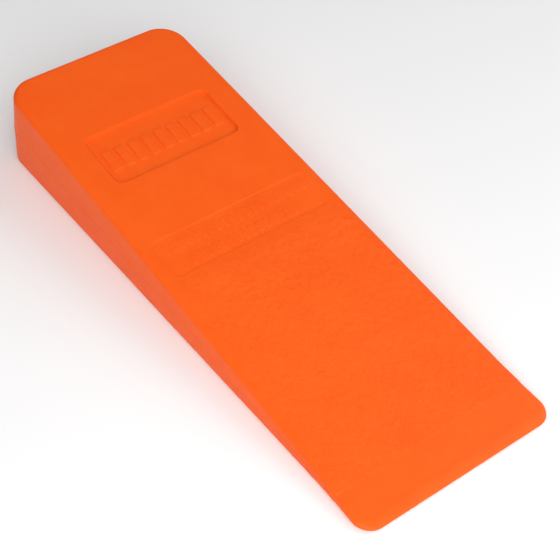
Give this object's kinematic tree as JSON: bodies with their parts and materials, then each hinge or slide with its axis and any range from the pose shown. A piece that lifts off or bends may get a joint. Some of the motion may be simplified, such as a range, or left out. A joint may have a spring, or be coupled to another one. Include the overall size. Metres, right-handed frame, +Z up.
{
  "type": "felling wedge",
  "caption": "Solid orange plastic felling wedge with a long double taper, rounded edges, a recessed panel of plain raised bars and a smooth thin tip.",
  "frame": {"origin": "middle of the base of the wedge's box, as it lies on its lower driving face", "axes": "+X along the length from the butt towards the tip, +Y across the width, +Z up out of the lower driving face"},
  "size_m": [0.203, 0.0756, 0.0296],
  "materials": {
    "orange_plastic": "injection-moulded plastic, satin, with a fine grain on the driving faces and a smoother tip band"
  },
  "bodies": {
    "root": {"wedge_body": "orange_plastic"}
  },
  "joints": []
}
